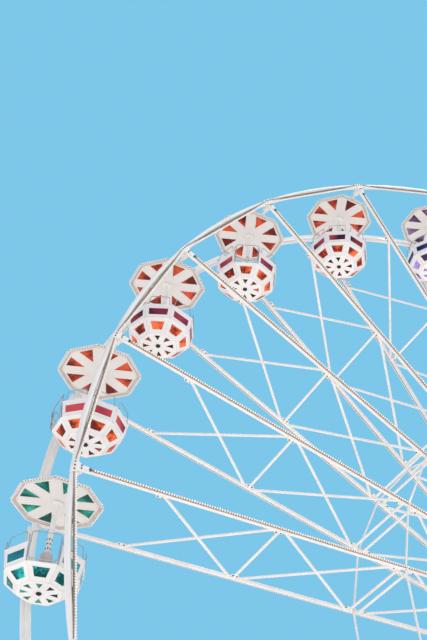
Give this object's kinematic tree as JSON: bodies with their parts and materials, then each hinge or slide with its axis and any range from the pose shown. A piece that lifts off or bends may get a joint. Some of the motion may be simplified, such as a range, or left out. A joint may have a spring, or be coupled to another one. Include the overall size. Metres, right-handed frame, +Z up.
{
  "type": "ferris wheel",
  "caption": "Transportable fairground wheel: braced spoke pairs between two tube rims carry level cabins with eight-sided canopies and tubs, on two A-frames.",
  "frame": {"origin": "on the ground, below the middle of the wheel", "axes": "+Z up; the wheel turns about a line along Y, with the front rim at -Y; +X to the right of the front"},
  "size_m": [31.6122, 9.2, 33.067],
  "materials": {
    "white_paint": "satin",
    "axle_steel": "satin",
    "orange_panel": "gloss",
    "violet_panel": "gloss",
    "green_panel": "gloss",
    "plum_strip": "gloss",
    "navy_strip": "gloss",
    "teal_strip": "gloss",
    "cabin_shell": "satin",
    "lamp_channel": "satin",
    "lamp_glass": "gloss",
    "guard_rail": "satin",
    "dark_bolt": "satin",
    "black_trim": "matte",
    "bench_top": "matte"
  },
  "bodies": {
    "root": {"axle": "axle_steel", "front_bearing": "white_paint", "back_bearing": "white_paint", "front_left_leg": "white_paint", "front_right_leg": "white_paint", "back_left_leg": "white_paint", "back_right_leg": "white_paint", "front_tie": "white_paint", "back_tie": "white_paint", "front_sill": "white_paint", "back_sill": "white_paint", "left_sill": "white_paint", "right_sill": "white_paint"},
    "wheel": {"front_rim": "white_paint", "back_rim": "white_paint", "hub": "white_paint", "spokes_01_to_03": "white_paint", "spokes_04_to_06": "white_paint", "spokes_07_to_09": "white_paint", "spokes_10_to_12": "white_paint", "spokes_13_to_15": "white_paint", "spokes_16_to_18": "white_paint", "spokes_19_to_21": "white_paint", "spokes_22_to_24": "white_paint"},
    "cabin_01_body": {"cabin_01": "green_panel"},
    "cabin_02_body": {"cabin_02": "orange_panel"},
    "cabin_03_body": {"cabin_03": "orange_panel"},
    "cabin_04_body": {"cabin_04": "orange_panel"},
    "cabin_05_body": {"cabin_05": "orange_panel"},
    "cabin_06_body": {"cabin_06": "violet_panel"},
    "cabin_07_body": {"cabin_07": "violet_panel"},
    "cabin_08_body": {"cabin_08": "violet_panel"},
    "cabin_09_body": {"cabin_09": "violet_panel"},
    "cabin_10_body": {"cabin_10": "green_panel"},
    "cabin_11_body": {"cabin_11": "green_panel"},
    "cabin_12_body": {"cabin_12": "green_panel"},
    "cabin_13_body": {"cabin_13": "green_panel"},
    "cabin_14_body": {"cabin_14": "orange_panel"},
    "cabin_15_body": {"cabin_15": "orange_panel"},
    "cabin_16_body": {"cabin_16": "orange_panel"},
    "cabin_17_body": {"cabin_17": "orange_panel"},
    "cabin_18_body": {"cabin_18": "violet_panel"},
    "cabin_19_body": {"cabin_19": "violet_panel"},
    "cabin_20_body": {"cabin_20": "violet_panel"},
    "cabin_21_body": {"cabin_21": "violet_panel"},
    "cabin_22_body": {"cabin_22": "green_panel"},
    "cabin_23_body": {"cabin_23": "green_panel"},
    "cabin_24_body": {"cabin_24": "green_panel"}
  },
  "joints": [
    {"name": "wheel_spin", "type": "hinge", "parent": "root", "child": "wheel", "pos_m": [0, 0, 18], "axis": [0, 1, 0], "continuous": true},
    {"name": "cabin_01_swing", "type": "hinge", "parent": "wheel", "child": "cabin_01_body", "pos_m": [-14.88865, 0, 17.41867], "axis": [0, 1, 0], "continuous": true},
    {"name": "cabin_02_swing", "type": "hinge", "parent": "wheel", "child": "cabin_02_body", "pos_m": [-14.5318, 0, 21.29194], "axis": [0, 1, 0], "continuous": true},
    {"name": "cabin_03_swing", "type": "hinge", "parent": "wheel", "child": "cabin_03_body", "pos_m": [-13.18462, 0, 24.94088], "axis": [0, 1, 0], "continuous": true},
    {"name": "cabin_04_swing", "type": "hinge", "parent": "wheel", "child": "cabin_04_body", "pos_m": [-10.93893, 0, 28.1168], "axis": [0, 1, 0], "continuous": true},
    {"name": "cabin_05_swing", "type": "hinge", "parent": "wheel", "child": "cabin_05_body", "pos_m": [-7.94778, 0, 30.60329], "axis": [0, 1, 0], "continuous": true},
    {"name": "cabin_06_swing", "type": "hinge", "parent": "wheel", "child": "cabin_06_body", "pos_m": [-4.41499, 0, 32.23088], "axis": [0, 1, 0], "continuous": true},
    {"name": "cabin_07_swing", "type": "hinge", "parent": "wheel", "child": "cabin_07_body", "pos_m": [-0.58133, 0, 32.88865], "axis": [0, 1, 0], "continuous": true},
    {"name": "cabin_08_swing", "type": "hinge", "parent": "wheel", "child": "cabin_08_body", "pos_m": [3.29194, 0, 32.5318], "axis": [0, 1, 0], "continuous": true},
    {"name": "cabin_09_swing", "type": "hinge", "parent": "wheel", "child": "cabin_09_body", "pos_m": [6.94088, 0, 31.18462], "axis": [0, 1, 0], "continuous": true},
    {"name": "cabin_10_swing", "type": "hinge", "parent": "wheel", "child": "cabin_10_body", "pos_m": [10.1168, 0, 28.93893], "axis": [0, 1, 0], "continuous": true},
    {"name": "cabin_11_swing", "type": "hinge", "parent": "wheel", "child": "cabin_11_body", "pos_m": [12.60329, 0, 25.94778], "axis": [0, 1, 0], "continuous": true},
    {"name": "cabin_12_swing", "type": "hinge", "parent": "wheel", "child": "cabin_12_body", "pos_m": [14.23088, 0, 22.41499], "axis": [0, 1, 0], "continuous": true},
    {"name": "cabin_13_swing", "type": "hinge", "parent": "wheel", "child": "cabin_13_body", "pos_m": [14.88865, 0, 18.58133], "axis": [0, 1, 0], "continuous": true},
    {"name": "cabin_14_swing", "type": "hinge", "parent": "wheel", "child": "cabin_14_body", "pos_m": [14.5318, 0, 14.70806], "axis": [0, 1, 0], "continuous": true},
    {"name": "cabin_15_swing", "type": "hinge", "parent": "wheel", "child": "cabin_15_body", "pos_m": [13.18462, 0, 11.05912], "axis": [0, 1, 0], "continuous": true},
    {"name": "cabin_16_swing", "type": "hinge", "parent": "wheel", "child": "cabin_16_body", "pos_m": [10.93893, 0, 7.8832], "axis": [0, 1, 0], "continuous": true},
    {"name": "cabin_17_swing", "type": "hinge", "parent": "wheel", "child": "cabin_17_body", "pos_m": [7.94778, 0, 5.39671], "axis": [0, 1, 0], "continuous": true},
    {"name": "cabin_18_swing", "type": "hinge", "parent": "wheel", "child": "cabin_18_body", "pos_m": [4.41499, 0, 3.76912], "axis": [0, 1, 0], "continuous": true},
    {"name": "cabin_19_swing", "type": "hinge", "parent": "wheel", "child": "cabin_19_body", "pos_m": [0.58133, 0, 3.11135], "axis": [0, 1, 0], "continuous": true},
    {"name": "cabin_20_swing", "type": "hinge", "parent": "wheel", "child": "cabin_20_body", "pos_m": [-3.29194, 0, 3.4682], "axis": [0, 1, 0], "continuous": true},
    {"name": "cabin_21_swing", "type": "hinge", "parent": "wheel", "child": "cabin_21_body", "pos_m": [-6.94088, 0, 4.81538], "axis": [0, 1, 0], "continuous": true},
    {"name": "cabin_22_swing", "type": "hinge", "parent": "wheel", "child": "cabin_22_body", "pos_m": [-10.1168, 0, 7.06107], "axis": [0, 1, 0], "continuous": true},
    {"name": "cabin_23_swing", "type": "hinge", "parent": "wheel", "child": "cabin_23_body", "pos_m": [-12.60329, 0, 10.05222], "axis": [0, 1, 0], "continuous": true},
    {"name": "cabin_24_swing", "type": "hinge", "parent": "wheel", "child": "cabin_24_body", "pos_m": [-14.23088, 0, 13.58501], "axis": [0, 1, 0], "continuous": true}
  ],
  "couplings": [
    {"joint": "cabin_01_swing", "follows": "wheel_spin", "ratio": -1},
    {"joint": "cabin_02_swing", "follows": "wheel_spin", "ratio": -1},
    {"joint": "cabin_03_swing", "follows": "wheel_spin", "ratio": -1},
    {"joint": "cabin_04_swing", "follows": "wheel_spin", "ratio": -1},
    {"joint": "cabin_05_swing", "follows": "wheel_spin", "ratio": -1},
    {"joint": "cabin_06_swing", "follows": "wheel_spin", "ratio": -1},
    {"joint": "cabin_07_swing", "follows": "wheel_spin", "ratio": -1},
    {"joint": "cabin_08_swing", "follows": "wheel_spin", "ratio": -1},
    {"joint": "cabin_09_swing", "follows": "wheel_spin", "ratio": -1},
    {"joint": "cabin_10_swing", "follows": "wheel_spin", "ratio": -1},
    {"joint": "cabin_11_swing", "follows": "wheel_spin", "ratio": -1},
    {"joint": "cabin_12_swing", "follows": "wheel_spin", "ratio": -1},
    {"joint": "cabin_13_swing", "follows": "wheel_spin", "ratio": -1},
    {"joint": "cabin_14_swing", "follows": "wheel_spin", "ratio": -1},
    {"joint": "cabin_15_swing", "follows": "wheel_spin", "ratio": -1},
    {"joint": "cabin_16_swing", "follows": "wheel_spin", "ratio": -1},
    {"joint": "cabin_17_swing", "follows": "wheel_spin", "ratio": -1},
    {"joint": "cabin_18_swing", "follows": "wheel_spin", "ratio": -1},
    {"joint": "cabin_19_swing", "follows": "wheel_spin", "ratio": -1},
    {"joint": "cabin_20_swing", "follows": "wheel_spin", "ratio": -1},
    {"joint": "cabin_21_swing", "follows": "wheel_spin", "ratio": -1},
    {"joint": "cabin_22_swing", "follows": "wheel_spin", "ratio": -1},
    {"joint": "cabin_23_swing", "follows": "wheel_spin", "ratio": -1},
    {"joint": "cabin_24_swing", "follows": "wheel_spin", "ratio": -1}
  ]
}
